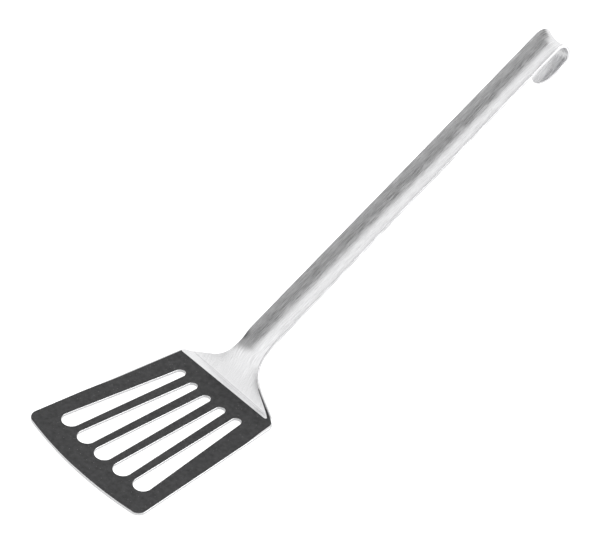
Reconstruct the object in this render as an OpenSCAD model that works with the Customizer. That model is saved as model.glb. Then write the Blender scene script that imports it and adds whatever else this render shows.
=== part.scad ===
// Slotted turner for fish: one pressed steel sheet with a non-stick coat on its blade.
// X runs across the blade, +Y from the blade to the hook, +Z up.
// The origin is on the surface that the blade lies on, below the middle of the whole length.

/* [Sheet] */
// Thickness of the steel sheet
sheet_t = 2; // [1.5:0.1:2.5]
// Thickness of the non-stick coat on the blade's top
coat_t = 0.15; // [0.1:0.05:0.3]

/* [Blade] */
// Width of the blade across its front corners, before they are rounded
blade_front_w = 100; // [90:1:120]
// Width of the blade across its rear corners, before they are rounded
blade_rear_w = 80; // [72:1:90]
// Length of the blade from its front corners to its rear corners
blade_len = 107.5; // [102:0.5:130]
// How far the middle of the front edge stands ahead of its corners
front_bulge = 5; // [2:0.5:10]
// Radius of the two front corners
front_corner_r = 6; // [2:0.5:10]
// Radius of the two rear corners
rear_corner_r = 5; // [2:0.5:8]

/* [Slots] */
// Number of slots
slot_count = 5; // [2:1:5]
// Length of a slot between the centres of its round ends
slot_len = 75; // [40:1:78]
// Distance from the front edge to the centre of a slot's front end
slot_front_margin = 20.5; // [14:0.5:23]
// Width of a slot at its front end
slot_front_w = 11.1; // [6:0.1:12.5]
// Width of a slot at its rear end
slot_rear_w = 5.8; // [4.5:0.1:8]
// Distance between the front ends of two slots
slot_front_pitch = 16; // [14:0.1:18]
// Distance between the rear ends of two slots
slot_rear_pitch = 12.4; // [10:0.1:15]

/* [Neck] */
// Angle between the shoulder's edge and the blade's rear edge
shoulder_angle = 28.5; // [24:0.5:40]
// Radius of the hollow curve between shoulder and neck
neck_fillet_r = 23.5; // [15:0.5:30]
// Flat length between the blade's rear corners and the upward bend
bend_start = 2; // [1:0.5:6]
// Radius of the upward bend, on the top face
bend_r = 6.5; // [5:0.5:12]
// Steepest slope of the neck
neck_angle = 60; // [45:1:65]
// Straight length at the steepest slope
neck_straight = 3.5; // [1:0.5:10]
// Radius of the long curve that leans the neck back to the handle's slope
lean_r = 58; // [40:1:80]

/* [Handle] */
// Slope of the handle above the blade
handle_angle = 30.7; // [20:0.1:40]
// Straight length of the handle, from the neck's curve to the hook
handle_len = 232.5; // [150:1:280]
// Width between the handle's rims at the neck
neck_w = 19.2; // [16:0.1:24]
// Width between the handle's rims at the hook
hook_w = 17.2; // [14:0.1:22]
// Depth of the channel pressed along the handle
channel_depth = 4.1; // [2:0.1:6]
// Length over which the channel deepens, from the blade's rear corners
channel_run_in = 19; // [14:1:30]
// Length over which the channel fades out before the hook
channel_run_out = 30; // [15:1:60]

/* [Hook] */
// Inner radius of the hanging hook
hook_inner_r = 7.2; // [5:0.1:12]
// Straight length of the hook's tongue, up to its round tip
tongue_len = 9.5; // [4:0.5:30]
// Amount by which bending thins the sheet at the hook, on each side
hook_thinning = 0.05; // [0.03:0.01:0.1]

/* [Hidden] */

$fn = 96;

// Largest lengthwise spacing of the pressed sheet's rings, stretch by stretch
bend_step = 0.9;
neck_step = 2;
handle_step = 24;
fade_step = 3;
// Facets across the channel
channel_facets = 14;

// Blade outline: the front edge is an arc through the front corners
half_front = blade_front_w / 2;
half_rear = blade_rear_w / 2;
front_edge_r = (half_front * half_front + front_bulge * front_bulge) / (2 * front_bulge);
front_edge_centre = front_edge_r - front_bulge;
side_slope = (half_front - half_rear) / blade_len;

// Shoulder outline, as half-width against the length s along the sheet behind the rear corners
shoulder_slope = 1 / tan(shoulder_angle);
side_norm = sqrt(1 + side_slope * side_slope);
shoulder_norm = sqrt(1 + shoulder_slope * shoulder_slope);
corner_s = -rear_corner_r * (shoulder_norm - side_norm) / (shoulder_slope - side_slope);
corner_w = half_rear - side_slope * corner_s - rear_corner_r * side_norm;
corner_from = corner_s + rear_corner_r * side_slope / side_norm;
corner_to = corner_s + rear_corner_r * shoulder_slope / shoulder_norm;
// The pressed sheet starts this much inside the blade's sides, so that the two meet cleanly
seam_inset = 0.02;
fillet_w = neck_w / 2 + neck_fillet_r;
fillet_s = (half_rear - fillet_w + neck_fillet_r * shoulder_norm) / shoulder_slope;
fillet_from = fillet_s - neck_fillet_r * shoulder_slope / shoulder_norm;

// Side view: lengths along the sheet at which one stretch gives way to the next
lean_angle = neck_angle - handle_angle;
bend_end = bend_start + bend_r * neck_angle * PI / 180;
lean_from = bend_end + neck_straight;
handle_from = lean_from + lean_r * lean_angle * PI / 180;
hook_from = handle_from + handle_len;
fade_from = hook_from - channel_run_out;

// Hook strap: its root runs into the handle's end by hook_root
hook_t = sheet_t - 2 * hook_thinning;
hook_strap_w = hook_w - 2 * hook_thinning;
hook_outer_r = hook_inner_r + hook_t;
hook_root = 0.5;

// Unit vector in the YZ plane at angle a above +Y
function along(a) = [cos(a), sin(a)];
// Unit vector square to it, to the sheet's upper side
function square_to(a) = [-sin(a), cos(a)];
// Smooth step from 0 to 1
function ease(v) = let (k = min(1, max(0, v))) k * k * (3 - 2 * k);

// Slope of the sheet at length s
function slope(s) =
    s < bend_start ? 0 :
    s < bend_end ? neck_angle * (s - bend_start) / (bend_end - bend_start) :
    s < lean_from ? neck_angle :
    s < handle_from ? neck_angle - lean_angle * (s - lean_from) / (handle_from - lean_from) :
    handle_angle;

// Points [y, z] where the stretches meet, measured from the rear corners on the top face
bend_end_pt = [bend_start, 0] + bend_r * [sin(neck_angle), 1 - cos(neck_angle)];
lean_from_pt = bend_end_pt + neck_straight * along(neck_angle);
lean_centre = lean_from_pt - lean_r * square_to(neck_angle);
handle_from_pt = lean_centre + lean_r * square_to(handle_angle);

// Point [y, z] on the channel's floor line at length s
function floor_pt(s) =
    s < bend_start ? [s, 0] :
    s < bend_end ? [bend_start, bend_r] - bend_r * square_to(slope(s)) :
    s < lean_from ? bend_end_pt + (s - bend_end) * along(neck_angle) :
    s < handle_from ? lean_centre + lean_r * square_to(slope(s)) :
    handle_from_pt + (s - handle_from) * along(handle_angle);

// Half-width between the rims at length s
function half_w(s) =
    s < corner_from ? half_rear - side_slope * s - seam_inset :
    s < corner_to ? corner_w + sqrt(rear_corner_r * rear_corner_r - (s - corner_s) * (s - corner_s)) :
    s < fillet_from ? half_rear - shoulder_slope * s :
    s < fillet_s ? fillet_w - sqrt(neck_fillet_r * neck_fillet_r - (s - fillet_s) * (s - fillet_s)) :
    (neck_w + (hook_w - neck_w) * ease((s - fillet_s) / handle_len)) / 2;

// Channel depth at length s; the rims run on straight while the floor rises to the hook
function depth(s) = channel_depth * ease(s / channel_run_in) * (1 - ease((s - fade_from) / channel_run_out));
function floor_rise(s) = s < fade_from ? 0 : channel_depth - depth(s);

// Half the angle that the channel's arc spans at length s
function arc_half(s) = 2 * atan(depth(s) / half_w(s));

// Point of the sheet's top face (drop 0) or underside (drop sheet_t) at u from -1 to 1 across
function sheet_pt(s, u, drop) =
    let (
        a = arc_half(s),
        flat = a < 0.01,
        x = flat ? half_w(s) * u : half_w(s) * sin(a * u) / sin(a),
        up = floor_rise(s) + (flat ? 0 : depth(s) * (1 - cos(a * u)) / (1 - cos(a))),
        yz = floor_pt(s) + (up - drop * cos(a * u)) * square_to(slope(s))
    )
    [x + drop * sin(a * u), yz[0], yz[1]];

// Lengths at which the pressed sheet has a ring
function stretch(from, to, step) =
    let (n = max(1, ceil((to - from) / step)))
    [for (i = [0 : n - 1]) from + (to - from) * i / n];
sheet_from = floor(min(corner_from, 0) - 1);
// The blade's root reaches this far into the sheet's flat start, set in from its sides by root_inset
blade_root = 0.8;
root_inset = 1;
channel_full = max(channel_run_in, fillet_s, handle_from);
ring_s = concat(
    stretch(sheet_from, bend_end, bend_step),
    stretch(bend_end, channel_full, neck_step),
    stretch(channel_full, fade_from, handle_step),
    stretch(fade_from, hook_from, fade_step),
    [hook_from]
);

// Where the rear corners and the blade's top face lie in the part's frame
hook_start_pt = floor_pt(hook_from) + (channel_depth - hook_thinning) * square_to(handle_angle);
hook_centre_pt = hook_start_pt - hook_outer_r * square_to(handle_angle);
overall_len = front_bulge + blade_len + hook_centre_pt[0] + hook_outer_r;
front_corner_y = front_bulge - overall_len / 2;
rear_corner_y = front_corner_y + blade_len;

// Distance from the front corners' line to the front edge at x
function front_edge_y(x) = front_edge_centre - sqrt(front_edge_r * front_edge_r - x * x);

// Points of an arc of radius r about centre, from angle a0 to a1, in steps of at most 6 degrees
function arc_points(centre, r, a0, a1, steps = 0) =
    let (n = max(steps, ceil(abs(a1 - a0) / 6)))
    [for (i = [0 : n]) centre + r * along(a0 + (a1 - a0) * i / n)];

// Height of the circle that rounds a front corner, touching the side and the front arc from inside
inset_r = front_edge_r - front_corner_r;
side_at = half_front - front_corner_r * side_norm;
quad_a = 1 + side_slope * side_slope;
quad_b = -2 * (side_slope * side_at + front_edge_centre);
quad_c = side_at * side_at + front_edge_centre * front_edge_centre - inset_r * inset_r;
round_y = (-quad_b - sqrt(quad_b * quad_b - 4 * quad_a * quad_c)) / (2 * quad_a);
round_centre = [side_at - side_slope * round_y, round_y];
round_from = atan2(round_centre[1] - front_edge_centre, round_centre[0]);
side_facing = atan(side_slope);

// Points of the blade's right side up to the line y = to, round the rear corner if it reaches so far
function side_points(to) =
    let (over = to - blade_len - corner_from)
    over <= 0 ? [[half_front - side_slope * to, to]] :
    [for (i = [0 : 6]) let (s = corner_from + over * i / 6) [half_w(s), blade_len + s]];

// Flat outline of the blade up to the line y = to, measured from the front corners
module blade_outline(to) {
    right = concat(
        arc_points([0, front_edge_centre], front_edge_r, -90, round_from, 24),
        arc_points(round_centre, front_corner_r, round_from, side_facing, 12),
        side_points(to)
    );
    left = [for (i = [len(right) - 1 : -1 : 1]) [-right[i][0], right[i][1]]];
    polygon(concat(right, left));
}

// Blade outline with a root that runs on inside the flat start of the pressed sheet
module rooted_outline() {
    root_y = blade_len + sheet_from;
    root_w = half_w(sheet_from) - root_inset;
    blade_outline(root_y);
    translate([-root_w, root_y - blade_root])
        square([2 * root_w, 2 * blade_root]);
}

// One slot: two round ends joined by their common tangents
module slot_outline(index) {
    front_r = slot_front_w / 2;
    rear_r = slot_rear_w / 2;
    front_x = index * slot_front_pitch;
    rear_x = index * slot_rear_pitch;
    front_y = front_edge_y(front_x) + slot_front_margin;
    run = norm([rear_x - front_x, slot_len]);
    heading = atan2(slot_len, rear_x - front_x);
    spread = 90 + asin((rear_r - front_r) / run);
    polygon(concat(
        arc_points([front_x, front_y], front_r, heading + spread, heading + 360 - spread),
        arc_points([rear_x, front_y + slot_len], rear_r, heading - spread, heading + spread)
    ));
}

module slots() {
    for (i = [0 : slot_count - 1])
        slot_outline(i - (slot_count - 1) / 2);
}

// Pressed sheet from the blade's rear to the start of the hook
module pressed_sheet() {
    rings = len(ring_s);
    across = channel_facets + 1;
    per_ring = 2 * across;
    points = [
        for (s = ring_s)
            for (drop = [0, sheet_t])
                for (j = [0 : channel_facets])
                    sheet_pt(s, (drop == 0 ? 1 : -1) * (2 * j / channel_facets - 1), drop)
    ];
    walls = [
        for (i = [0 : rings - 2])
            for (j = [0 : per_ring - 1])
                let (
                    a = i * per_ring + j,
                    b = i * per_ring + (j + 1) % per_ring,
                    c = b + per_ring,
                    d = a + per_ring
                )
                each [[a, c, b], [a, d, c]]
    ];
    // The two ends are closed by a strip of four-sided faces from the top row to the bottom row
    last = (rings - 1) * per_ring;
    ends = [
        for (j = [0 : channel_facets - 1])
            let (a = j, b = j + 1, c = per_ring - 2 - j, d = per_ring - 1 - j)
            each [[a, b, c, d], [last + d, last + c, last + b, last + a]]
    ];
    polyhedron(points, concat(walls, ends), convexity = 6);
}

// Hook: a half turn below the handle, then a tongue with a round tip
module hook() {
    translate([0, hook_start_pt[0], hook_start_pt[1]])
        rotate([handle_angle, 0, 0]) {
            translate([-hook_strap_w / 2, -hook_root, -hook_t])
                cube([hook_strap_w, hook_root, hook_t]);
            translate([0, 0, -hook_outer_r])
                rotate([0, -90, 0])
                    hook_bend();
            translate([0, -tongue_len, -2 * hook_outer_r])
                tongue();
        }
}

// Half a flat ring about Z, from the +X side round by +Y to the -X side
module hook_bend() {
    rotate_extrude(angle = 180)
        translate([hook_inner_r, -hook_strap_w / 2])
            square([hook_t, hook_strap_w]);
}

module tongue() {
    linear_extrude(hook_t)
        polygon(concat(
            arc_points([0, 0], hook_strap_w / 2, 180, 360),
            [[hook_strap_w / 2, tongue_len], [-hook_strap_w / 2, tongue_len]]
        ));
}

module turner_body() {
    color("silver")
        translate([0, rear_corner_y, sheet_t]) {
            translate([0, -blade_len, -sheet_t])
                linear_extrude(sheet_t)
                    difference() {
                        rooted_outline();
                        slots();
                    }
            pressed_sheet();
            hook();
        }
}

module nonstick_coat() {
    color("dimgray")
        translate([0, front_corner_y, sheet_t])
            linear_extrude(coat_t)
                difference() {
                    blade_outline(blade_len);
                    slots();
                }
}

turner_body();
nonstick_coat();
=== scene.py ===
# %% [markdown]
# # A slotted turner for fish
# The turner is one strip of stainless steel: a blade with five slots, a hollow handle and a hanging
# hook, all pressed from one flat blank. A dark non-stick coat lies on the blade's top.
# This script is a lesson in making such a thing in Blender the way a workshop would: cut the
# blank flat, punch the slots, then bend the blank along a line. Every length is written in
# millimetres and turned to metres, which is Blender's unit.

# %% Open the frame
import math

import bmesh
import bpy
import numpy as np
from mathutils import Matrix, Vector


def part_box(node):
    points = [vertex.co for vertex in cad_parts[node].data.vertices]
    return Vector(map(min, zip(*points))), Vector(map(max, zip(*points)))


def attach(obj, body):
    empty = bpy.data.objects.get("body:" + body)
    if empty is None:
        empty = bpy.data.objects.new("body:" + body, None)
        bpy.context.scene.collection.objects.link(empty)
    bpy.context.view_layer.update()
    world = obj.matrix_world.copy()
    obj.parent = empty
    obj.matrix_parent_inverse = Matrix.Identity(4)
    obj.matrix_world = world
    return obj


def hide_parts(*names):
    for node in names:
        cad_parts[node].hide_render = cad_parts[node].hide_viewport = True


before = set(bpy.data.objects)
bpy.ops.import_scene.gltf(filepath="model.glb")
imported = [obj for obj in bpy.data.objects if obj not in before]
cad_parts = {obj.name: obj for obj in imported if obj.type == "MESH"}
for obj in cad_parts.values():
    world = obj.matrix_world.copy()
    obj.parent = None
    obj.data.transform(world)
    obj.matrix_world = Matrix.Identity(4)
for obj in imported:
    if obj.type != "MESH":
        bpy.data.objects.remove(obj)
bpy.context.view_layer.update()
MM = 0.001

# %% [markdown]
# ## The camera
# A photograph is matched by placing the camera first. The position and the three directions below
# were found from the blade's corners, the slots and the handle's ends in the photograph. A long
# lens far away keeps the blade and the hook at nearly the same scale, as in a catalogue picture.

# %% Camera
LENS_MM = 240
SENSOR_MM = 36
CAMERA_AT = (1.189023, -1.236354, 1.595729)
CAMERA_RIGHT = (0.65568063, 0.74986026, 0.08827509)
CAMERA_UP = (-0.54805339, 0.39225076, 0.7387671)
CAMERA_BACK = (0.51934612, -0.53277474, 0.66815469)

camera_data = bpy.data.cameras.new("camera")
camera_data.lens = LENS_MM
camera_data.sensor_width = SENSOR_MM
camera = bpy.data.objects.new("camera", camera_data)
directions = Matrix((CAMERA_RIGHT, CAMERA_UP, CAMERA_BACK)).transposed().to_4x4()
camera.matrix_world = Matrix.Translation(CAMERA_AT) @ directions
bpy.context.collection.objects.link(camera)
bpy.context.scene.camera = camera
print("camera stands", round(Vector(CAMERA_AT).length, 2), "m from the turner")

# %% [markdown]
# ## The sizes
# The lengths are those that the solid model was drawn with, so the dressed turner fills the same
# space. Only the bends of the neck and the hook and the tongue's tip are drawn a little closer to
# the photograph. `s` is the length along the sheet, measured from the blade's rear corners towards
# the hook, and `x` is the distance from the middle line. Both are measured on the flat blank.

# %% Sizes of the blade, its slots and the neck
SHEET_T = 2.0
COAT_T = 0.15
HALF_FRONT = 50.0
HALF_REAR = 40.0
BLADE_LEN = 107.5
FRONT_BULGE = 5.0
FRONT_CORNER_R = 6.0
REAR_CORNER_R = 5.0

SLOT_COUNT = 5
SLOT_LEN = 75.0
SLOT_MARGIN = 20.5
SLOT_FRONT_W = 11.1
SLOT_REAR_W = 5.8
SLOT_FRONT_PITCH = 16.0
SLOT_REAR_PITCH = 12.4

SHOULDER_ANGLE = math.radians(28.5)
NECK_FILLET_R = 23.5
# The sheet is bent sharply up behind the shoulder and leans back where the channel starts
BEND_START = 2.2
BEND_R = 1.2
NECK_ANGLE = math.radians(57)
LEAN_R = 14.0
TOE_AT = 23.0
TOE_RIM = 1.6
CHANNEL_FULL_AT = 36.0
print("blade", 2 * HALF_FRONT, "mm wide at its front corners and", BLADE_LEN + FRONT_BULGE, "mm long")

# %% Sizes of the handle and the hook
HANDLE_ANGLE = math.radians(30.7)
# A point of the handle's floor, as y and z from the rear corners, and its distance from the hook
HANDLE_AT = (29.997, 27.153)
HANDLE_LEN = 232.5
HALF_NECK = 9.6
HALF_HOOK = 8.6
CHANNEL_DEPTH = 4.1
CHANNEL_RUN_OUT = 30.0
HOOK_INNER_R = 7.2
TONGUE_LEN = 10.5
# The tongue's tip is half an ellipse, longer than it is wide
TIP_LEN = 19.0
# The hook is bent over a square tool, so it is two corners of this radius with a flat between
HOOK_CORNER_R = 4.2
# The strap is a little thinner round the hook, because bending stretches the sheet
HOOK_THINNING = 0.05
HOOK_OUTER_R = HOOK_INNER_R + SHEET_T - 2 * HOOK_THINNING
print("handle", 2 * HALF_NECK, "mm wide at the neck and", 2 * HALF_HOOK, "mm at the hook")

# %% Where one stretch of the sheet gives way to the next
def along(angle):
    """Direction at this angle above the Y axis, in the side view."""
    return np.array([math.cos(angle), math.sin(angle)])


def square_to(angle):
    """Direction square to it, to the sheet's upper side."""
    return np.array([-math.sin(angle), math.cos(angle)])


BEND_END = BEND_START + BEND_R * NECK_ANGLE
BEND_END_PT = np.array([BEND_START, BEND_R]) - BEND_R * square_to(NECK_ANGLE)
# The steep part is as long as it must be for the lean to end on the handle's line
LEAN = LEAN_R * (square_to(HANDLE_ANGLE) - square_to(NECK_ANGLE))
TO_HANDLE = (np.array(HANDLE_AT) - BEND_END_PT - LEAN) @ square_to(HANDLE_ANGLE)
NECK_STRAIGHT = TO_HANDLE / (along(NECK_ANGLE) @ square_to(HANDLE_ANGLE))
LEAN_FROM = BEND_END + NECK_STRAIGHT
LEAN_FROM_PT = BEND_END_PT + NECK_STRAIGHT * along(NECK_ANGLE)
HANDLE_FROM = LEAN_FROM + LEAN_R * (NECK_ANGLE - HANDLE_ANGLE)
HANDLE_FROM_PT = LEAN_FROM_PT + LEAN
STRAIGHT_LEN = HANDLE_LEN + (np.array(HANDLE_AT) - HANDLE_FROM_PT) @ along(HANDLE_ANGLE)
# The line along the channel's floor goes round the hook inside the strap, so it turns tighter
HOOK_LINE_R = HOOK_OUTER_R + HOOK_THINNING - CHANNEL_DEPTH
HOOK_SQUARER = HOOK_LINE_R - HOOK_CORNER_R
HOOK_FROM = HANDLE_FROM + STRAIGHT_LEN + HOOK_SQUARER
FADE_FROM = HOOK_FROM - CHANNEL_RUN_OUT
FLAT_FROM = HOOK_FROM + math.pi / 2 * HOOK_CORNER_R
FLAT_TO = FLAT_FROM + 2 * HOOK_SQUARER
TONGUE_FROM = FLAT_TO + math.pi / 2 * HOOK_CORNER_R
TIP_R = HALF_HOOK - HOOK_THINNING
SHEET_END = TONGUE_FROM + TONGUE_LEN + HOOK_SQUARER + TIP_R
TIP_FROM = SHEET_END - TIP_LEN
print("blank from", -BLADE_LEN - FRONT_BULGE, "to", round(SHEET_END, 1), "mm")

# %% [markdown]
# ## The outline of the flat blank
# The right side runs from the middle of the front edge, round the front corner, along the blade,
# round the rear corner, down the shoulder into the neck, up the handle and round the tongue's tip.
# Each stretch is a line or an arc that touches its neighbours, so the points come from plain
# geometry and not from tracing. The left side is its mirror image.

# %% Lines and arcs of the outline
SIDE_SLOPE = (HALF_FRONT - HALF_REAR) / BLADE_LEN
SHOULDER_SLOPE = 1 / math.tan(SHOULDER_ANGLE)
SIDE_NORM = math.hypot(1, SIDE_SLOPE)
SHOULDER_NORM = math.hypot(1, SHOULDER_SLOPE)
FRONT_R = (HALF_FRONT**2 + FRONT_BULGE**2) / (2 * FRONT_BULGE)
FRONT_CENTRE = FRONT_R - FRONT_BULGE - BLADE_LEN

CORNER_S = -REAR_CORNER_R * (SHOULDER_NORM - SIDE_NORM) / (SHOULDER_SLOPE - SIDE_SLOPE)
CORNER_X = HALF_REAR - SIDE_SLOPE * CORNER_S - REAR_CORNER_R * SIDE_NORM
CORNER_FROM = CORNER_S + REAR_CORNER_R * SIDE_SLOPE / SIDE_NORM
CORNER_TO = CORNER_S + REAR_CORNER_R * SHOULDER_SLOPE / SHOULDER_NORM

FILLET_X = HALF_NECK + NECK_FILLET_R
FILLET_S = (HALF_REAR - FILLET_X + NECK_FILLET_R * SHOULDER_NORM) / SHOULDER_SLOPE
FILLET_FROM = FILLET_S - NECK_FILLET_R * SHOULDER_SLOPE / SHOULDER_NORM


def ease(value):
    """Smooth step from 0 to 1."""
    k = min(1.0, max(0.0, value))
    return k * k * (3 - 2 * k)


def half_width(s):
    """Half the sheet's width between its rims at length s, with no rounding of the tongue's tip."""
    if s < CORNER_FROM:
        return HALF_REAR - SIDE_SLOPE * s
    if s < CORNER_TO:
        return CORNER_X + math.sqrt(REAR_CORNER_R**2 - (s - CORNER_S) ** 2)
    if s < FILLET_FROM:
        return HALF_REAR - SHOULDER_SLOPE * s
    if s < FILLET_S:
        return FILLET_X - math.sqrt(NECK_FILLET_R**2 - (s - FILLET_S) ** 2)
    return HALF_NECK + (HALF_HOOK - HALF_NECK) * ease((s - FILLET_S) / HANDLE_LEN)


print("rear corner from", round(CORNER_FROM, 2), "to", round(CORNER_TO, 2), "mm")

# %% [markdown]
# The front corner's arc touches the side line and the front arc from inside. Its centre is where a
# line parallel to the side meets a circle inside the front arc, which is a quadratic equation.

# %% Right side of the blank, from the front edge to the tongue's tip
ARC_STEP = math.radians(4)
FRONT_EDGE_STEP = math.radians(1)
BLADE_STEP = 6.0
STRIP_FROM = -4.0
# Stretches of the strip and the step between their points, small where the sheet bends
STRIP_STEPS = [
    (STRIP_FROM, CORNER_FROM, 0.7),
    (CORNER_FROM, CORNER_TO, 0.3),
    (CORNER_TO, BEND_END, 0.15),
    (BEND_END, HANDLE_FROM, 0.6),
    (HANDLE_FROM, CHANNEL_FULL_AT, 0.8),
    (CHANNEL_FULL_AT, FADE_FROM, 4),
    (FADE_FROM, HOOK_FROM, 1.5),
    (HOOK_FROM, FLAT_FROM, 0.2),
    (FLAT_FROM, FLAT_TO, 0.5),
    (FLAT_TO, TONGUE_FROM, 0.2),
    (TONGUE_FROM, TIP_FROM, 1),
]


def front_corner():
    """Centre of the front corner's arc, and the angle at which the front arc gives way to it."""
    inset = FRONT_R - FRONT_CORNER_R
    reach = HALF_FRONT - SIDE_SLOPE * BLADE_LEN - FRONT_CORNER_R * SIDE_NORM
    a = 1 + SIDE_SLOPE**2
    b = -2 * (SIDE_SLOPE * reach + FRONT_CENTRE)
    c = reach**2 + FRONT_CENTRE**2 - inset**2
    s = (-b - math.sqrt(b * b - 4 * a * c)) / (2 * a)
    x = reach - SIDE_SLOPE * s
    return x, s, math.atan2(s - FRONT_CENTRE, x)


def spread(start, end, step):
    """Evenly spaced numbers from start up to, but not at, end."""
    count = max(1, math.ceil((end - start) / step))
    return [start + (end - start) * i / count for i in range(count)]


def arc(x, s, r, start, end, step=ARC_STEP):
    """Points of an arc from one angle up to, but not at, the other."""
    count = max(1, math.ceil(abs(end - start) / step))
    turns = [start + (end - start) * i / count for i in range(count)]
    return [(x + r * math.cos(t), s + r * math.sin(t)) for t in turns]


def blade_side():
    """Right side of the blade, from the middle of the front edge to where the strip starts."""
    x, s, meet = front_corner()
    points = arc(0, FRONT_CENTRE, FRONT_R, -math.pi / 2, meet, FRONT_EDGE_STEP)
    points += arc(x, s, FRONT_CORNER_R, meet, math.atan(SIDE_SLOPE))
    side_from = s + FRONT_CORNER_R * math.sin(math.atan(SIDE_SLOPE))
    points += [(half_width(v), v) for v in spread(side_from, STRIP_FROM, BLADE_STEP)]
    return points


def strip_side():
    """Right side of the strip, from the blade's rear to the tongue's tip."""
    points = [(half_width(s), s) for stretch in STRIP_STEPS for s in spread(*stretch)]
    tip = arc(0, 0, TIP_R, 0, math.pi / 2)
    points += [(x, TIP_FROM + TIP_LEN / TIP_R * s) for x, s in tip]
    return points + [(0, SHEET_END)]


right_side = blade_side() + strip_side()
print(len(right_side), "points on one side of the blank")

# %% [markdown]
# ## Rounded rims
# No pressed steel part has knife-sharp rims: tumbling rounds them by a few tenths of a millimetre,
# and that thin round is what catches the light. A Bevel modifier could make it, but on a face with
# five holes it is hard to keep clean. Here each rim is a band of faces laid along its outline,
# which steps from the top face, round the edge, down the wall and round to the underside.

# %% Bands of faces along an outline
RIM_R = 0.35
RIM_STEPS = 4
# At a sharp corner the band's points move out along the mitre, but no further than this allows
MITRE_LIMIT = 0.5


def rim_profile(thickness, r):
    """Pairs of how far the rim lies inside the outline and its height, from top to bottom."""
    turns = [math.pi / 2 * i / RIM_STEPS for i in range(RIM_STEPS + 1)]
    top = [(r * (1 - math.sin(t)), -r * (1 - math.cos(t))) for t in turns]
    return top + [(inset, -thickness - height) for inset, height in reversed(top)]


def outward(loop):
    """Direction away from the material at each point of a closed outline."""
    points = np.array(loop)
    ahead = np.roll(points, -1, axis=0) - points
    normals = np.stack([ahead[:, 1], -ahead[:, 0]], axis=1)
    normals /= np.linalg.norm(normals, axis=1, keepdims=True)
    middle = normals + np.roll(normals, 1, axis=0)
    return middle / np.maximum((middle * middle).sum(axis=1, keepdims=True) / 2, MITRE_LIMIT)


def add_rim(bm, loop, profile, base=0.0):
    """Adds one closed rim band to the mesh and returns its rings of points, top ring first."""
    away = outward(loop)
    rings = []
    for inset, height in profile:
        flat = np.array(loop) - away * inset
        rings.append([bm.verts.new((x * MM, s * MM, (base + height) * MM)) for x, s in flat])
    for upper, lower in zip(rings, rings[1:]):
        for i in range(len(loop)):
            j = (i + 1) % len(loop)
            bm.faces.new((upper[i], lower[i], lower[j], upper[j]))
    return rings


steel_profile = rim_profile(SHEET_T, RIM_R)
print(len(steel_profile), "steps from the top face to the underside")

# %% [markdown]
# ## Helpers for nodes
# Materials and Geometry Nodes are both graphs. One small function adds a node to either kind: the
# settings go on the node, and each input gets a value, a link from another node's socket, or a
# node, which then gives its first result. Colours are written as sRGB hex values, as a paint
# program shows them, and one function turns them to the linear light that Blender reckons in.

# %% Add a node
def add(tree, kind, inputs=None, **settings):
    """Adds a node, sets it up and fills its inputs with values, sockets or nodes."""
    node = tree.nodes.new(kind)
    for name, value in settings.items():
        setattr(node, name, value)
    for key, value in (inputs or {}).items():
        source = value.outputs[0] if isinstance(value, bpy.types.Node) else value
        if isinstance(source, bpy.types.NodeSocket):
            tree.links.new(source, node.inputs[key])
        else:
            node.inputs[key].default_value = source
    return node


# %% Colours and new materials
def hex_colour(code):
    """Linear colour of an sRGB hex value, which is how Blender wants it."""
    channels = [int(code[i : i + 2], 16) / 255 for i in (1, 3, 5)]
    linear = [c / 12.92 if c <= 0.04045 else ((c + 0.055) / 1.055) ** 2.4 for c in channels]
    return (*linear, 1.0)


def new_material(name):
    """A material without nodes, and its tree."""
    material = bpy.data.materials.new(name)
    material.use_nodes = True
    material.node_tree.nodes.clear()
    return material, material.node_tree


print("mid grey #808080 is", round(hex_colour("#808080")[0], 3), "in linear light")

# %% [markdown]
# A Geometry Nodes tree is like a small machine with settings on its front: its inputs are named
# sizes, and the modifier that runs it gives them their values. The result is then made a plain
# mesh, because later steps and other programs know nothing of the tree.

# %% Set up and run a Geometry Nodes tree
def new_tree(name, inputs):
    """A tree with named inputs and one result, and the sockets that give the inputs."""
    tree = bpy.data.node_groups.new(name, "GeometryNodeTree")
    for label, kind in inputs.items():
        tree.interface.new_socket(label, in_out="INPUT", socket_type=f"NodeSocket{kind}")
    tree.interface.new_socket("Result", in_out="OUTPUT", socket_type="NodeSocketGeometry")
    return tree, add(tree, "NodeGroupInput").outputs


def end_tree(tree, shape, material):
    """Ends a tree: makes its instances real, sets the material and gives the result."""
    real = add(tree, "GeometryNodeRealizeInstances", {"Geometry": shape})
    finished = add(tree, "GeometryNodeSetMaterial", {"Geometry": real, "Material": material})
    add(tree, "NodeGroupOutput", {"Result": finished})


def run_tree(item, tree, values):
    """Gives an object a modifier with this tree, and sets its inputs by their identifiers."""
    modifier = item.modifiers.new(tree.name, "NODES")
    modifier.node_group = tree
    for socket in tree.interface.items_tree:
        if socket.item_type == "SOCKET" and socket.name in values:
            modifier[socket.identifier] = values[socket.name]


def plain_mesh(item):
    """Applies an object's modifiers: returns the evaluated result as a mesh of its own."""
    depsgraph = bpy.context.evaluated_depsgraph_get()
    return bpy.data.meshes.new_from_object(item.evaluated_get(depsgraph), depsgraph=depsgraph)


# %% [markdown]
# ## Bare stainless steel
# The real sheet is stainless steel. Its handle was belt-ground lengthwise, which leaves fine
# scratches: some are polished and some are rough, so pale and dark streaks run through the
# reflections in the channel. The belt does not reach the neck, which is only tumbled and is evenly
# satin. The scratches follow the sheet round its bends, so the pattern reads `blank`, an attribute
# that keeps where each point lay on the flat blank. An anisotropic finish would blur reflections
# the same way, but single streaks show only where the scratches are drawn. Steel is a metal:
# metallic is 1, its colour is the pale grey that it mirrors, and the index of refraction stays at
# the default.

# %% Material: brushed stainless steel
STEEL_DARK = "#CCCCCD"
STEEL_PALE = "#EFEFF0"
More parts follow.
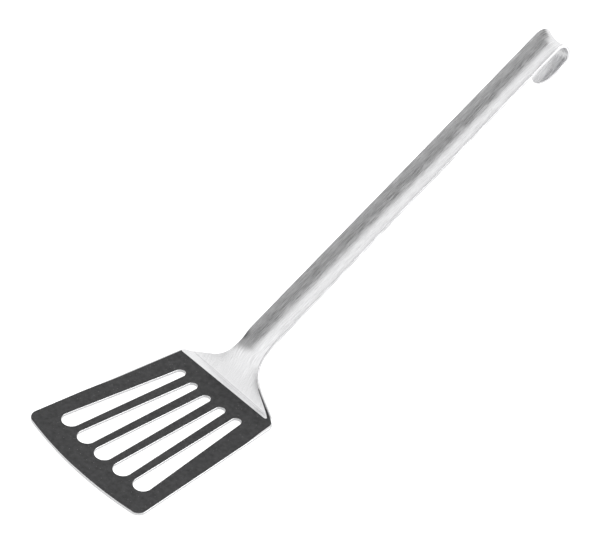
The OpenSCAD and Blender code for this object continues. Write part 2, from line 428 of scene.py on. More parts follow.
# Real grinding marks are about 0.05 mm wide. They are drawn 0.38 mm wide so that they show.
SCRATCH_W = 0.38
SCRATCH_LEN = 9.0
SCRATCH_DEPTH = 0.012
ROUGHNESS_LOW = 0.16
ROUGHNESS_HIGH = 0.5
# The belt's marks start faint on the neck at the first length and are full from the second on
BELT_FROM = 10.0
BELT_FULL = 45.0
NECK_SCRATCH_SHARE = 0.2
NECK_ROUGHNESS = 0.25
# Most of the noise lies between the outer two values, and its middle between the inner two
NOISE_LOW = 0.3
NOISE_HIGH = 0.7
NOISE_MIDDLE_LOW = 0.4
NOISE_MIDDLE_HIGH = 0.6


def brushed_steel():
    """Stainless steel, belt-ground along the handle and satin on the neck."""
    material, tree = new_material("brushed_stainless_steel")
    blank = add(tree, "ShaderNodeAttribute", attribute_name="blank").outputs["Vector"]
    stretch = (1 / (SCRATCH_W * MM), 1 / (SCRATCH_LEN * MM), 1 / (SCRATCH_W * MM))
    laid = add(tree, "ShaderNodeMapping", {"Vector": blank, "Scale": stretch})
    marks = add(
        tree,
        "ShaderNodeTexNoise",
        {"Vector": laid, "Scale": 1.0, "Detail": 3.0, "Roughness": 0.6},
    )
    s = add(tree, "ShaderNodeSeparateXYZ", {0: blank}).outputs["Y"]
    belt = {"Value": s, "From Min": BELT_FROM * MM, "From Max": BELT_FULL * MM}
    ground = add(tree, "ShaderNodeMapRange", {**belt, "To Min": NECK_SCRATCH_SHARE, "To Max": 1.0})
    # Half is the noise's middle: drawing it in towards that makes the scratches fainter
    even = add(tree, "ShaderNodeMath", {0: marks, 1: 0.5}, operation="SUBTRACT")
    scratch = add(tree, "ShaderNodeMath", {0: even, 1: ground, 2: 0.5}, operation="MULTIPLY_ADD")
    tone = add(tree, "ShaderNodeValToRGB", {"Fac": scratch})
    tones = ((NOISE_MIDDLE_LOW, STEEL_DARK), (NOISE_MIDDLE_HIGH, STEEL_PALE))
    for stop, (share, code) in zip(tone.color_ramp.elements, tones):
        stop.position = share
        stop.color = hex_colour(code)
    # The neck is evenly satin, and the handle has smooth and rough marks side by side
    least = add(
        tree,
        "ShaderNodeMapRange",
        {**belt, "To Min": NECK_ROUGHNESS, "To Max": ROUGHNESS_LOW},
    )
    worn = add(tree, "ShaderNodeMath", {0: marks, 1: ground}, operation="MULTIPLY")
    rough = add(
        tree,
        "ShaderNodeMapRange",
        {
            "Value": worn,
            "From Min": NOISE_LOW,
            "From Max": NOISE_HIGH,
            "To Min": least,
            "To Max": ROUGHNESS_HIGH,
        },
    )
    scratches = add(
        tree,
        "ShaderNodeBump",
        {"Height": scratch, "Strength": 1.0, "Distance": SCRATCH_DEPTH * MM},
    )
    shader = add(
        tree,
        "ShaderNodeBsdfPrincipled",
        {"Base Color": tone, "Metallic": 1.0, "Roughness": rough, "Normal": scratches},
    )
    add(tree, "ShaderNodeOutputMaterial", {"Surface": shader})
    return material


steel = brushed_steel()
print("made", steel.name)

# %% [markdown]
# ## Non-stick coat
# The blade's top carries a sprayed and baked fluoropolymer coat. It is dark grey and matt, because
# fine filler in it scatters the light, and it has a faint orange-peel mottle from spraying and a
# few pale specks. Noise with its scale in real millimetres draws them, because it never repeats
# and stays sharp from close by. The coat is a plastic, so metallic is 0 and the index of
# refraction is about 1.38.

# %% Material: sprayed non-stick coat
COAT_DARK = "#2F2F30"
COAT_PALE = "#4B4B4C"
COAT_IOR = 1.38
COAT_ROUGHNESS_LOW = 0.5
COAT_ROUGHNESS_HIGH = 0.68
MOTTLE_SIZE = 3.0
GRAIN_SIZE = 0.5
GRAIN_DEPTH = 0.02
SPECK_COLOUR = "#8A8A8A"
SPECK_SPACING = 2.2
# A speck fades out between these shares of the spacing, measured from its middle
SPECK_FULL = 0.04
SPECK_GONE = 0.12


def sprayed_coat():
    """Fluoropolymer, sprayed and baked: matt, faintly mottled, with a few pale specks."""
    material, tree = new_material("sprayed_nonstick_coat")
    place = add(tree, "ShaderNodeTexCoord").outputs["Object"]
    mottle = add(
        tree,
        "ShaderNodeTexNoise",
        {"Vector": place, "Scale": 1 / (MOTTLE_SIZE * MM), "Detail": 4.0, "Roughness": 0.65},
    )
    grain = add(
        tree,
        "ShaderNodeTexNoise",
        {"Vector": place, "Scale": 1 / (GRAIN_SIZE * MM), "Detail": 2.0},
    )
    tone = add(tree, "ShaderNodeValToRGB", {"Fac": mottle})
    tones = ((NOISE_LOW, COAT_DARK), (NOISE_HIGH, COAT_PALE))
    for stop, (share, code) in zip(tone.color_ramp.elements, tones):
        stop.position = share
        stop.color = hex_colour(code)
    cells = add(
        tree,
        "ShaderNodeTexVoronoi",
        {"Vector": place, "Scale": 1 / (SPECK_SPACING * MM)},
    )
    speck = add(
        tree,
        "ShaderNodeMapRange",
        {"Value": cells, "From Min": SPECK_GONE, "From Max": SPECK_FULL},
    )
    colour = add(
        tree,
        "ShaderNodeMix",
        {0: speck, 6: tone, 7: hex_colour(SPECK_COLOUR)},
        data_type="RGBA",
    )
    rough = add(
        tree,
        "ShaderNodeMapRange",
        {"Value": mottle, "To Min": COAT_ROUGHNESS_LOW, "To Max": COAT_ROUGHNESS_HIGH},
    )
    peel = add(
        tree,
        "ShaderNodeBump",
        {"Height": grain, "Strength": 0.5, "Distance": GRAIN_DEPTH * MM},
    )
    shader = add(
        tree,
        "ShaderNodeBsdfPrincipled",
        {"Base Color": colour.outputs[2], "Roughness": rough, "IOR": COAT_IOR, "Normal": peel},
    )
    add(tree, "ShaderNodeOutputMaterial", {"Surface": shader})
    return material


coat = sprayed_coat()
print("made", coat.name)

# %% [markdown]
# ## Punching the slots
# Five equal slots fan out from the rear of the blade to its front. One slot's rim is made as a
# small mesh, and a Geometry Nodes tree repeats it: it lays a point for each slot, moves the points
# onto an arc behind the front edge, turns each one to the fan's angle and puts the rim there.
# With the pitches as inputs, a wider fan or a sixth slot is a change of one number. A Boolean
# modifier could cut the slots as well, but it leaves thin faces round them that catch the light.

# %% One slot's rim
def slot_rim(name, profile, grow, base=0.0):
    """Rim band of one slot whose outline is larger by grow on every side."""
    front_r = SLOT_FRONT_W / 2 + grow
    rear_r = SLOT_REAR_W / 2 + grow
    tangent = math.asin((rear_r - front_r) / SLOT_LEN)
    side = math.pi / 2 + tangent
    up = math.pi / 2
    loop = arc(0, 0, front_r, up + side, up + 2 * math.pi - side)
    loop += [(front_r * math.cos(up - side), front_r * math.sin(up - side))]
    loop += arc(0, SLOT_LEN, rear_r, up - side, up + side)
    loop += [(rear_r * math.cos(up + side), SLOT_LEN + rear_r * math.sin(up + side))]
    bm = bmesh.new()
    # The outline is walked backwards, so that the steel is on its outer side
    add_rim(bm, loop[::-1], profile, base)
    mesh = bpy.data.meshes.new(name)
    bm.to_mesh(mesh)
    bm.free()
    item = bpy.data.objects.new(name, mesh)
    bpy.context.collection.objects.link(item)
    return item


steel_slot = slot_rim("steel_slot", steel_profile, 0.0)
print("one slot's rim has", len(steel_slot.data.polygons), "faces")


# %% Geometry Nodes: repeat the slot along the fan
def slot_fan_tree():
    """Tree that repeats the modifier's own mesh as a fan of slots."""
    inputs = {
        "Slot": "Geometry",
        "Count": "Int",
        "Front pitch": "Float",
        "Rear pitch": "Float",
        "Slot length": "Float",
        "Front radius": "Float",
        "Front start": "Float",
        "Material": "Material",
    }
    tree, given = new_tree("slot_fan", inputs)
    points = add(tree, "GeometryNodeMeshLine", {"Count": given["Count"]}, mode="OFFSET")
    last = add(tree, "ShaderNodeMath", {0: given["Count"], 1: 1.0}, operation="SUBTRACT")
    middle = add(tree, "ShaderNodeMath", {0: last, 1: 2.0}, operation="DIVIDE")
    index = add(tree, "GeometryNodeInputIndex")
    place = add(tree, "ShaderNodeMath", {0: index, 1: middle}, operation="SUBTRACT")
    x = add(tree, "ShaderNodeMath", {0: place, 1: given["Front pitch"]}, operation="MULTIPLY")
    # Height of the front arc at x: radius minus the square root of radius squared minus x squared
    r = given["Front radius"]
    x_squared = add(tree, "ShaderNodeMath", {0: x, 1: x}, operation="MULTIPLY")
    r_squared = add(tree, "ShaderNodeMath", {0: r, 1: r}, operation="MULTIPLY")
    rest = add(tree, "ShaderNodeMath", {0: r_squared, 1: x_squared}, operation="SUBTRACT")
    root = add(tree, "ShaderNodeMath", {0: rest}, operation="SQRT")
    rise = add(tree, "ShaderNodeMath", {0: r, 1: root}, operation="SUBTRACT")
    s = add(tree, "ShaderNodeMath", {0: given["Front start"], 1: rise}, operation="ADD")
    at = add(tree, "ShaderNodeCombineXYZ", {"X": x, "Y": s})
    laid = add(tree, "GeometryNodeSetPosition", {"Geometry": points, "Position": at})

    # Each slot leans towards the middle, because the rear pitch is the smaller one
    pitches = {0: given["Front pitch"], 1: given["Rear pitch"]}
    narrower = add(tree, "ShaderNodeMath", pitches, operation="SUBTRACT")
    nearer = add(tree, "ShaderNodeMath", {0: place, 1: narrower}, operation="MULTIPLY")
    lean = add(tree, "ShaderNodeMath", {0: nearer, 1: given["Slot length"]}, operation="ARCTAN2")
    turn = add(tree, "ShaderNodeCombineXYZ", {"Z": lean})
    cosine = add(tree, "ShaderNodeMath", {0: lean}, operation="COSINE")
    longer = add(tree, "ShaderNodeMath", {0: 1.0, 1: cosine}, operation="DIVIDE")
    scale = add(tree, "ShaderNodeCombineXYZ", {"X": 1.0, "Y": longer, "Z": 1.0})
    slots = add(
        tree,
        "GeometryNodeInstanceOnPoints",
        {"Points": laid, "Instance": given["Slot"], "Rotation": turn, "Scale": scale},
    )
    end_tree(tree, slots, given["Material"])
    return tree


slot_fan = slot_fan_tree()
print("slot tree has", len(slot_fan.nodes), "nodes")


# %% Run the slot tree
def punched(slot, material):
    """All slots of the blade as a plain mesh."""
    values = {
        "Count": SLOT_COUNT,
        "Front pitch": SLOT_FRONT_PITCH * MM,
        "Rear pitch": SLOT_REAR_PITCH * MM,
        "Slot length": SLOT_LEN * MM,
        "Front radius": FRONT_R * MM,
        "Front start": (SLOT_MARGIN - FRONT_BULGE - BLADE_LEN) * MM,
        "Material": material,
    }
    run_tree(slot, slot_fan, values)
    mesh = plain_mesh(slot)
    bpy.data.objects.remove(slot)
    return mesh


steel_slots = punched(steel_slot, steel)
print("five slots have", len(steel_slots.polygons), "faces")

# %% [markdown]
# ## The flat blank
# The blade is flat, so its top and underside are simply filled between the rims. The rest of the
# blank is a grid of small four-sided faces, because it will be bent: rows lie close together where
# the bend is tight and far apart along the straight handle.

# %% Cut the blank
COLUMNS = 24
# Points count as lying on a level, or on a row, when they are no further from it than this
LEVEL_SLACK = 0.01
ROW_SLACK = 0.05


def add_rows(bm, ring, first, count):
    """Rows of points across the strip, from its right rim to its left rim, on one ring."""
    rows = []
    for i in range(first, count - 1):
        right, left = ring[i], ring[-i]
        inner = [
            bm.verts.new(right.co.lerp(left.co, (j + 1) / COLUMNS)) for j in range(COLUMNS - 1)
        ]
        rows.append([right, *inner, left])
    for low, high in zip(rows, rows[1:]):
        for j in range(COLUMNS):
            bm.faces.new((low[j], high[j], high[j + 1], low[j + 1]))
    bm.faces.new([*rows[-1], ring[count - 1]])
    return rows[0]


def fill_level(bm, height, s_end):
    """Fills the flat blade between its rims at one height."""
    slack = LEVEL_SLACK * MM
    edges = [
        e
        for e in bm.edges
        if len(e.link_faces) < 2
        and all(abs(v.co.z - height) < slack and v.co.y < s_end for v in e.verts)
    ]
    bmesh.ops.triangle_fill(bm, edges=edges, use_beauty=True, use_dissolve=False)


def closed_mesh(bm, name):
    """Ends a blank: turns its faces outward, counts its open edges and returns its mesh."""
    bmesh.ops.recalc_face_normals(bm, faces=bm.faces)
    open_edges = sum(1 for e in bm.edges if len(e.link_faces) != 2)
    mesh = bpy.data.meshes.new(name)
    bm.to_mesh(mesh)
    bm.free()
    print(name, "has", len(mesh.polygons), "faces and", open_edges, "open edges")
    return mesh


def cut_blank():
    """The whole flat blank of steel, its top at height 0."""
    bm = bmesh.new()
    bm.from_mesh(steel_slots)
    left_side = [(-x, s) for x, s in right_side[-2:0:-1]]
    rings = add_rim(bm, right_side + left_side, steel_profile)
    first = len(blade_side())
    for ring in (rings[0], rings[-1]):
        row = add_rows(bm, ring, first, len(right_side))
        fill_level(bm, row[0].co.z, row[0].co.y + ROW_SLACK * MM)
    return closed_mesh(bm, "turner_steel")


steel_blank = cut_blank()

# %% [markdown]
# ## Bending the blank
# In the press the blank takes two shapes at once. Along its length it follows a line: flat under
# the blade, sharply up at the neck, back to the handle's slope where the channel starts, and round
# the hook in two corners with a short flat between them. Across its width the handle is hollowed
# into a channel. A Curve modifier could follow the line, but it cannot hollow the sheet on the way,
# so Geometry Nodes do both. Each point needs only five numbers from its place on the blank: half
# the width, the hollow's depth, how far its floor is lifted, how far it stands aside, and how far
# it is twisted about the line. The tree then samples the line at the point's length and sets the
# point square to it, on an arc through both rims.

# %% The line that the sheet follows
LINE_FROM = -120.0
LINE_STEP = 0.125
# The line runs on a little past the sheet's end
LINE_SPARE = 1.0

LEAN_CENTRE = LEAN_FROM_PT - LEAN_R * square_to(NECK_ANGLE)
HOOK_FROM_PT = HANDLE_FROM_PT + (HOOK_FROM - HANDLE_FROM) * along(HANDLE_ANGLE)
# Past the first corner the sheet runs square to the handle, and past the second it runs back
FLAT_ANGLE = HANDLE_ANGLE - math.pi / 2
CORNER_1 = HOOK_FROM_PT - HOOK_CORNER_R * square_to(HANDLE_ANGLE)
CORNER_2 = CORNER_1 + 2 * HOOK_SQUARER * along(FLAT_ANGLE)
TONGUE_FROM_PT = CORNER_2 - HOOK_CORNER_R * square_to(HANDLE_ANGLE)


def line_point(s):
    """Point of the line at length s, as y and z from the rear corners on the blade's top face."""
    if s < BEND_START:
        return np.array([s, 0.0])
    if s < BEND_END:
        return np.array([BEND_START, BEND_R]) - BEND_R * square_to((s - BEND_START) / BEND_R)
    if s < LEAN_FROM:
        return BEND_END_PT + (s - BEND_END) * along(NECK_ANGLE)
    if s < HANDLE_FROM:
        return LEAN_CENTRE + LEAN_R * square_to(NECK_ANGLE - (s - LEAN_FROM) / LEAN_R)
    if s < HOOK_FROM:
        return HANDLE_FROM_PT + (s - HANDLE_FROM) * along(HANDLE_ANGLE)
    if s < FLAT_FROM:
        angle = HANDLE_ANGLE - (s - HOOK_FROM) / HOOK_CORNER_R
        return CORNER_1 + HOOK_CORNER_R * square_to(angle)
    if s < FLAT_TO:
        start = CORNER_1 + HOOK_CORNER_R * square_to(FLAT_ANGLE)
        return start + (s - FLAT_FROM) * along(FLAT_ANGLE)
    if s < TONGUE_FROM:
        angle = FLAT_ANGLE - (s - FLAT_TO) / HOOK_CORNER_R
        return CORNER_2 + HOOK_CORNER_R * square_to(angle)
    return TONGUE_FROM_PT - (s - TONGUE_FROM) * along(HANDLE_ANGLE)


def make_line():
    """The line as a curve, in the turner's own place."""
    rear_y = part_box("turner_body")[0].y / MM + FRONT_BULGE + BLADE_LEN
    line_to = SHEET_END + LINE_SPARE
    stops = spread(LINE_FROM, line_to, LINE_STEP) + [line_to]
    data = bpy.data.curves.new("sheet_line", "CURVE")
    data.dimensions = "3D"
    spline = data.splines.new("POLY")
    spline.points.add(len(stops) - 1)
    for point, s in zip(spline.points, stops):
        y, z = line_point(s)
        point.co = (0, (rear_y + y) * MM, (SHEET_T + z) * MM, 1)
    item = bpy.data.objects.new("sheet_line", data)
    bpy.context.collection.objects.link(item)
    print("line of", len(stops), "points; rear corners at y", round(rear_y, 2), "mm")
    return item


sheet_line = make_line()

# %% [markdown]
# The channel starts at its toe, above the bend, and is soon at its full depth. It stays hollow over
# the hook and all but fades out on the tongue. The handle is twisted a little towards the hook, and
# the tongue runs a little to the right, as the photograph shows. Each rule eases from one value to
# the next, because a sudden step would show as a line in the reflections.

# %% Depth of the hollow, lift of its floor, skew and twist
# The share of the rims' height that is hollow. The rest lifts the floor, as its reflections show.
HOLLOW_SHARE = 0.66
HOOK_SAG = 2.8
TONGUE_SAG = 0.6
# The tongue was bent a little askew: it runs to the right by this much per unit of its length
TONGUE_SKEW = 0.12
# The handle is twisted a little towards the hook, so that its right rim is the lower one there
TWIST = math.radians(3)
TWIST_FROM = 120.0
TWIST_TO = 200.0


def rim_height(s):
    """How far the rims stand above the line at length s."""
    if s < TOE_AT:
        return TOE_RIM * ease((s - BEND_START) / (TOE_AT - BEND_START))
    if s < FADE_FROM:
        k = ease((s - TOE_AT) / (CHANNEL_FULL_AT - TOE_AT))
        return TOE_RIM + (CHANNEL_DEPTH - TOE_RIM) * k
    return CHANNEL_DEPTH - HOOK_THINNING * ease((s - FADE_FROM) / CHANNEL_RUN_OUT)


def hollow_depth(s):
    """Depth of the middle below the rims at length s."""
    if s < FADE_FROM:
        return HOLLOW_SHARE * rim_height(s)
    full = HOLLOW_SHARE * CHANNEL_DEPTH
    if s < HOOK_FROM:
        return full + (HOOK_SAG - full) * ease((s - FADE_FROM) / CHANNEL_RUN_OUT)
    return HOOK_SAG + (TONGUE_SAG - HOOK_SAG) * ease((s - HOOK_FROM) / (TONGUE_FROM - HOOK_FROM))


def floor_lift(s):
    """How far the middle stands above the line at length s."""
    return rim_height(s) - hollow_depth(s)


def aside(s):
    """How far the sheet stands to the right of the middle plane."""
    return TONGUE_SKEW * max(0.0, s - FLAT_FROM)


def twist(s):
    """Angle by which the sheet is turned about the line."""
    return TWIST * ease((s - TWIST_FROM) / (TWIST_TO - TWIST_FROM))


def note_places(mesh):
    """Writes each point's place on the blank and its five numbers as attributes."""
    flat = np.zeros(len(mesh.vertices) * 3, np.float32)
    mesh.vertices.foreach_get("co", flat)
    stops = flat.reshape(-1, 3)[:, 1] / MM
    mesh.attributes.new("blank", "FLOAT_VECTOR", "POINT").data.foreach_set("vector", flat)
    rules = {
        "half_width": (half_width, MM),
        "hollow": (hollow_depth, MM),
        "lift": (floor_lift, MM),
        "aside": (aside, MM),
        "twist": (twist, 1.0),
    }
    for name, (rule, unit) in rules.items():
        values = np.array([rule(float(s)) * unit for s in stops], np.float32)
        mesh.attributes.new(name, "FLOAT", "POINT").data.foreach_set("value", values)


note_places(steel_blank)
print("hollow at the hook:", hollow_depth(HOOK_FROM), "mm")


# %% Geometry Nodes: press the blank along the line
def press_tree():
    """Tree that lays the blank along a line and hollows it across."""
    inputs = {
        "Blank": "Geometry",
        "Line": "Object",
        "Line start": "Float",
        "Least hollow": "Float",
        "Wall turn": "Float",
        "Material": "Material",
    }
    tree, given = new_tree("press", inputs)
    place = add(tree, "GeometryNodeInputPosition")
    flat = add(tree, "ShaderNodeSeparateXYZ", {0: place}).outputs
    half, hollow, lift, askew, turned = (
        add(tree, "GeometryNodeInputNamedAttribute", {"Name": name}, data_type="FLOAT")
        for name in ("half_width", "hollow", "lift", "aside", "twist")
    )
    # A flat sheet gets a hollow far too small to see, so that one rule serves everywhere
    deep = add(tree, "ShaderNodeMath", {0: hollow, 1: given["Least hollow"]}, operation="MAXIMUM")

    # The angle from the middle to either rim, and this point's share of it
    ratio = add(tree, "ShaderNodeMath", {0: deep, 1: half}, operation="DIVIDE")
    quarter = add(tree, "ShaderNodeMath", {0: ratio}, operation="ARCTANGENT")
    whole = add(tree, "ShaderNodeMath", {0: quarter, 1: 2.0}, operation="MULTIPLY")
    share = add(tree, "ShaderNodeMath", {0: flat["X"], 1: half}, operation="DIVIDE")
    swing = add(tree, "ShaderNodeMath", {0: whole, 1: share}, operation="MULTIPLY")

    # Trimming after the press leaves the rims' walls nearly upright: they turn less than the floor
    fourth = add(tree, "ShaderNodeMath", {0: share, 1: 4.0}, operation="POWER")
    wall_turn = {0: fourth, 1: given["Wall turn"], 2: 1.0}
    kept = add(tree, "ShaderNodeMath", wall_turn, operation="MULTIPLY_ADD")
    drop = add(tree, "ShaderNodeMath", {0: swing, 1: kept}, operation="MULTIPLY")
    drop_sine = add(tree, "ShaderNodeMath", {0: drop}, operation="SINE")
    drop_cosine = add(tree, "ShaderNodeMath", {0: drop}, operation="COSINE")

    # Across: the arc's radius times the sine of the swing, and the way down through the sheet
    full_sine = add(tree, "ShaderNodeMath", {0: whole}, operation="SINE")
    sine = add(tree, "ShaderNodeMath", {0: swing}, operation="SINE")
    radius = add(tree, "ShaderNodeMath", {0: half, 1: full_sine}, operation="DIVIDE")
    reach = add(tree, "ShaderNodeMath", {0: radius, 1: sine}, operation="MULTIPLY")
    down = add(tree, "ShaderNodeMath", {0: flat["Z"], 1: drop_sine}, operation="MULTIPLY")
    across = add(tree, "ShaderNodeMath", {0: reach, 1: down}, operation="SUBTRACT")

    # Up: the lift, the rise of the arc, and the height above or below the top face
    half_swing = add(tree, "ShaderNodeMath", {0: swing, 1: 0.5}, operation="MULTIPLY")
    top = add(tree, "ShaderNodeMath", {0: half_swing}, operation="SINE")
    bottom = add(tree, "ShaderNodeMath", {0: quarter}, operation="SINE")
    part = add(tree, "ShaderNodeMath", {0: top, 1: bottom}, operation="DIVIDE")
    squared = add(tree, "ShaderNodeMath", {0: part, 1: part}, operation="MULTIPLY")
    risen = add(tree, "ShaderNodeMath", {0: squared, 1: deep, 2: lift}, operation="MULTIPLY_ADD")
    height = {0: flat["Z"], 1: drop_cosine, 2: risen}
    up = add(tree, "ShaderNodeMath", height, operation="MULTIPLY_ADD")

    # The line's point and the direction square to it, at this point's length along the blank
    length = add(
        tree,
        "ShaderNodeMath",
        {0: flat["Y"], 1: given["Line start"]},
        operation="SUBTRACT",
    )
    line = add(tree, "GeometryNodeObjectInfo", {"Object": given["Line"]})
    sampled = add(
        tree,
        "GeometryNodeSampleCurve",
        {"Curves": line.outputs["Geometry"], "Length": length},
        mode="LENGTH",
        use_all_curves=True,
    ).outputs
    square = add(
        tree,
        "ShaderNodeVectorMath",
        {0: (1.0, 0.0, 0.0), 1: sampled["Tangent"]},
        operation="CROSS_PRODUCT",
    )
    unit = add(tree, "ShaderNodeVectorMath", {0: square}, operation="NORMALIZE")
    raised = add(tree, "ShaderNodeVectorMath", {0: unit, "Scale": up}, operation="SCALE")
    sideways = add(tree, "ShaderNodeCombineXYZ", {"X": across})
    offset = add(tree, "ShaderNodeVectorMath", {0: raised, 1: sideways}, operation="ADD")
    twisted = add(
        tree,
        "ShaderNodeVectorRotate",
        {"Vector": offset, "Axis": sampled["Tangent"], "Angle": turned},
        rotation_type="AXIS_ANGLE",
    )
    shift = add(tree, "ShaderNodeCombineXYZ", {"X": askew})
    moved = {0: sampled["Position"], 1: shift}
    start = add(tree, "ShaderNodeVectorMath", moved, operation="ADD")
    target = add(tree, "ShaderNodeVectorMath", {0: start, 1: twisted}, operation="ADD")
    pressed = add(
        tree,
        "GeometryNodeSetPosition",
        {"Geometry": given["Blank"], "Position": target},
    )
    end_tree(tree, pressed, given["Material"])
    return tree


press = press_tree()
print("press tree has", len(press.nodes), "nodes")

# %% Run the press
LEAST_HOLLOW = 0.002
# Share of the channel's turn that the walls at the rims are spared
WALL_UPRIGHT = 0.6


def pressed_piece(name, blank, material):
    """Presses a flat blank, shades it smooth and returns it as an object with a plain mesh."""
    item = bpy.data.objects.new(name, blank)
    bpy.context.collection.objects.link(item)
    values = {
        "Line": sheet_line,
        "Line start": LINE_FROM * MM,
        "Least hollow": LEAST_HOLLOW * MM,
        "Wall turn": -WALL_UPRIGHT,
        "Material": material,
    }
    run_tree(item, press, values)
    item.data = plain_mesh(item)
    item.modifiers.clear()
    item.data.shade_smooth()
    # Large faces decide how their neighbours are shaded, so flat faces stay flat up to the rims
    item.modifiers.new("flat_faces_first", "WEIGHTED_NORMAL").keep_sharp = True
    item.data = plain_mesh(item)
    item.modifiers.clear()
    item.data.name = name
    return item


turner_steel = pressed_piece("turner_steel", steel_blank, steel)
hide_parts("turner_body")
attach(turner_steel, "root")
print("turner:", len(turner_steel.data.vertices), "points")

# %% [markdown]
# ## The coat on the blade
# The coat is a film 0.15 mm thick with an outline of its own. It reaches the rims along the front
# of the blade, draws back from them towards the rear, and ends in a line just ahead of the
# shoulder. At the near rear corner the coat goes on as a dark tail along the shoulder's rim,
# which narrows as it climbs. A mask could paint the coat onto the steel, but a film of its own has
# an edge that catches the light. It is cut flat and goes through the same press as the steel, so it
# lies on the sheet everywhere.

# %% Outline of the coat
COAT_SLOT_INSET = 0.22
# How far the coat stays from the far rim and the near rim, and the stretch over which that grows
FAR_INSETS = (0.12, 1.0)
FAR_GROWS = (-72.0, -46.0)
NEAR_INSETS = (0.35, 1.35)
NEAR_GROWS = (-24.0, -3.0)
SIDES_TO = -1.6
# The rear line's height at the middle, its slope, where it starts and what it leaves free
REAR_LINE_AT = -1.1
REAR_LINE_SKEW = 0.033
REAR_LINE_FROM = 31.6
REAR_LINE_GAP = 0.8
REAR_LINE_POINTS = 24
# The tail: its end, its width and the share of it that it loses, and its distance from the rim,
# which is larger at the corner and settles over the given length
TAIL_TO = 12.5
TAIL_W = 1.9
TAIL_NARROWING = 0.8
TAIL_INSET = 0.4
TAIL_CORNER_INSET = 0.8
TAIL_SETTLES_OVER = 4.0
TAIL_INNER_FROM = 3.2
# Between the tail and the rear line the bare steel has a small rounded corner: distance from the
# tail's inner end, and height
TURN_POINTS = ((0.05, 0.62), (-0.3, 0.16))


def coat_side(right):
    """One side of the coat, from the middle of the front edge to its rear corner."""
    low, high = NEAR_INSETS if right else FAR_INSETS
    start, end = NEAR_GROWS if right else FAR_GROWS
    sign = 1 if right else -1
    points = []
    for (x, s), (nx, ns) in zip(right_side, outward(right_side)):
        if s < SIDES_TO:
            inset = low + (high - low) * ease((s - start) / (end - start))
            points.append((sign * (x - nx * inset), s - ns * inset))
    points[0] = (0.0, points[0][1])
    return points


def coat_tail():
    """The tail: up the outer edge of the shoulder's rim and back down its inner edge."""
    outer, inner = [], []
    for (x, s), (nx, ns) in zip(right_side, outward(right_side)):
        if SIDES_TO <= s < TAIL_TO:
            settled = ease((s - SIDES_TO) / TAIL_SETTLES_OVER)
            clear = TAIL_INSET + TAIL_CORNER_INSET * (1 - settled)
            width = TAIL_W * (1 - TAIL_NARROWING * ease(s / TAIL_TO))
            outer.append((x - nx * clear, s - ns * clear))
            if s > TAIL_INNER_FROM:
                inner.append((x - nx * (clear + width), s - ns * (clear + width)))
    return outer + inner[::-1]


def coat_outline():
    """The coat's whole outline, walked with the coat on the left."""
    near = coat_side(True)
    far = coat_side(False)
    tail = coat_tail()
    turn = [(tail[-1][0] + x, s) for x, s in TURN_POINTS]
    stops = np.linspace(REAR_LINE_FROM, far[-1][0] + REAR_LINE_GAP, REAR_LINE_POINTS)
    rear = [(x, REAR_LINE_AT + REAR_LINE_SKEW * x) for x in stops]
    return near + tail + turn + rear + far[:0:-1]


coat_loop = coat_outline()
print("coat outline has", len(coat_loop), "points")

# %% Cut and press the coat
COAT_RIM_R = 0.05
coat_profile = rim_profile(COAT_T, COAT_RIM_R)


def cut_coat():
    """The flat coat, lying on the blade's top face."""
    slot = slot_rim("coat_slot", coat_profile, COAT_SLOT_INSET, COAT_T)
    bm = bmesh.new()
    bm.from_mesh(punched(slot, coat))
    rings = add_rim(bm, coat_loop, coat_profile, COAT_T)
    for ring in (rings[0], rings[-1]):
        fill_level(bm, ring[0].co.z, SHEET_END * MM)
    return closed_mesh(bm, "blade_coat")


coat_blank = cut_coat()
note_places(coat_blank)
blade_coat = pressed_piece("blade_coat", coat_blank, coat)
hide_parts("nonstick_coat")
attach(blade_coat, "root")
bpy.data.objects.remove(sheet_line)

# %% [markdown]
# ## Studio
# The turner lies on a plain white floor in a white tent. Steel shows whatever is round it, so the
# tent matters more than the lamp. It is white but for four grey parts: a broad one overhead and a
# darker one above the blade draw the dark band in the channel, one low in front draws the thin
# dark lines, and one at the back keeps the turner readable from behind. A soft lamp at the right
# brightens the near side. A picture of a room could light the steel too, but grey parts can be
# moved one by one until the bands lie where the photograph has them. The floor and the tent look
# pure white to the camera, and the floor still takes a soft shadow.

# %% Floor
FLOOR_SIZE = 3.0
FLOOR_CELLS = 8
FLOOR_COLOUR = "#F4F4F4"
# The camera sees a pure white floor, and the steel mirrors one that is a little less bright
FLOOR_GLOW = 0.8
FLOOR_GLOW_MIRRORED = 0.35
WHITE = (1.0, 1.0, 1.0, 1.0)


def white_floor():
    """Matt white that the camera and the steel see glowing a little."""
    material, tree = new_material("white_floor")
    painted = add(tree, "ShaderNodeBsdfDiffuse", {"Color": hex_colour(FLOOR_COLOUR)})
    path = add(tree, "ShaderNodeLightPath").outputs
    glows = {0: path["Is Glossy Ray"], 1: FLOOR_GLOW_MIRRORED - FLOOR_GLOW, 2: FLOOR_GLOW}
    level = add(tree, "ShaderNodeMath", glows, operation="MULTIPLY_ADD")
    glow = add(tree, "ShaderNodeEmission", {"Color": WHITE, "Strength": level})
    both = add(tree, "ShaderNodeAddShader", {0: painted, 1: glow})
    rays = {0: path["Is Camera Ray"], 1: path["Is Glossy Ray"]}
    seen = add(tree, "ShaderNodeMath", rays, operation="MAXIMUM")
    shown = add(tree, "ShaderNodeMixShader", {0: seen, 1: painted, 2: both})
    add(tree, "ShaderNodeOutputMaterial", {"Surface": shown})
    return material


def make_floor():
    """A plain pale floor under the turner."""
    bm = bmesh.new()
    size = FLOOR_SIZE / 2
    bmesh.ops.create_grid(bm, x_segments=FLOOR_CELLS, y_segments=FLOOR_CELLS, size=size)
    mesh = bpy.data.meshes.new("floor")
    bm.to_mesh(mesh)
    bm.free()
    mesh.materials.append(white_floor())
    item = bpy.data.objects.new("floor", mesh)
    bpy.context.collection.objects.link(item)


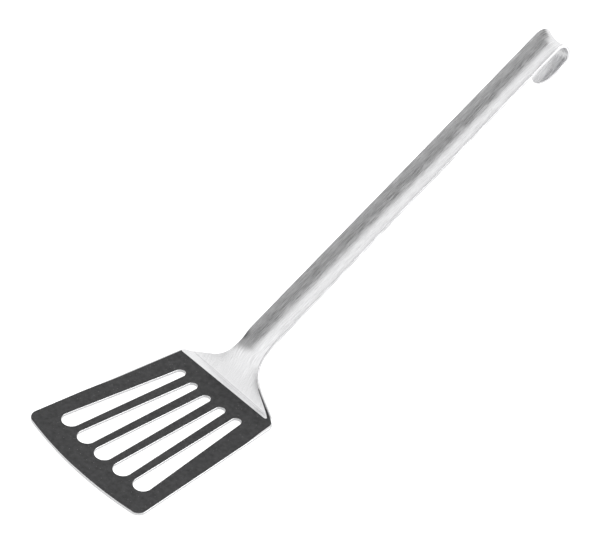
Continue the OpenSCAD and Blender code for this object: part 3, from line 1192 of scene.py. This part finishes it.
make_floor()
print("floor", FLOOR_SIZE, "m wide")

# %% Tent: the world's light
TENT_WHITE = 1.19
# Direction, half angle, width of the soft border and level of each grey part
OVERHEAD = ((0.35, -0.387, 0.853), 50, 7, 0.5)
FRONT = ((0.413, -0.886, 0.208), 36, 5, 0.12)
RIDGE = ((-0.1, -0.402, 0.91), 22, 14, 0.31)
BACK = ((0.45, 0.55, 0.7), 38, 9, 0.32)


def make_tent():
    """World light that is white but for the grey parts."""
    world = bpy.data.worlds.new("tent")
    bpy.context.scene.world = world
    world.use_nodes = True
    tree = world.node_tree
    tree.nodes.clear()
    ray = add(tree, "ShaderNodeTexCoord").outputs["Generated"]
    levels = []
    for direction, half, blur, level in (OVERHEAD, FRONT, RIDGE, BACK):
        middle = Vector(direction).normalized()
        facing = add(tree, "ShaderNodeVectorMath", {0: ray, 1: middle}, operation="DOT_PRODUCT")
        part = add(
            tree,
            "ShaderNodeMapRange",
            {
                "Value": facing.outputs["Value"],
                "From Min": math.cos(math.radians(half + blur)),
                "From Max": math.cos(math.radians(half - blur)),
                "To Min": TENT_WHITE,
                "To Max": level,
            },
            interpolation_type="SMOOTHSTEP",
        )
        levels.append(part)
    # Where parts overlap, the darkest counts
    darkest = levels[0]
    for level in levels[1:]:
        darkest = add(tree, "ShaderNodeMath", {0: darkest, 1: level}, operation="MINIMUM")
    light = add(tree, "ShaderNodeBackground", {"Color": WHITE, "Strength": darkest})
    white = add(tree, "ShaderNodeBackground", {"Color": WHITE, "Strength": 1.0})
    path = add(tree, "ShaderNodeLightPath").outputs
    shown = add(tree, "ShaderNodeMixShader", {0: path["Is Camera Ray"], 1: light, 2: white})
    add(tree, "ShaderNodeOutputWorld", {"Surface": shown})


make_tent()
print("tent from", FRONT[-1], "to", TENT_WHITE)

# %% Lamp
LAMP_FROM = (1.0, 0.6, 0.5)
LAMP_DISTANCE = 1.6
LAMP_SIZE = 1.2
LAMP_POWER = 14


def make_lamp():
    """A square soft lamp that looks at the turner's middle."""
    data = bpy.data.lights.new("key", "AREA")
    data.shape = "SQUARE"
    data.size = LAMP_SIZE
    data.energy = LAMP_POWER
    item = bpy.data.objects.new("key", data)
    item.location = Vector(LAMP_FROM).normalized() * LAMP_DISTANCE
    item.rotation_euler = (-Vector(LAMP_FROM)).to_track_quat("-Z", "Y").to_euler()
    bpy.context.collection.objects.link(item)


make_lamp()
print("one soft lamp of", LAMP_POWER, "W")

# %% Colour handling
bpy.context.scene.view_settings.view_transform = "Standard"
print("view transform", bpy.context.scene.view_settings.view_transform)
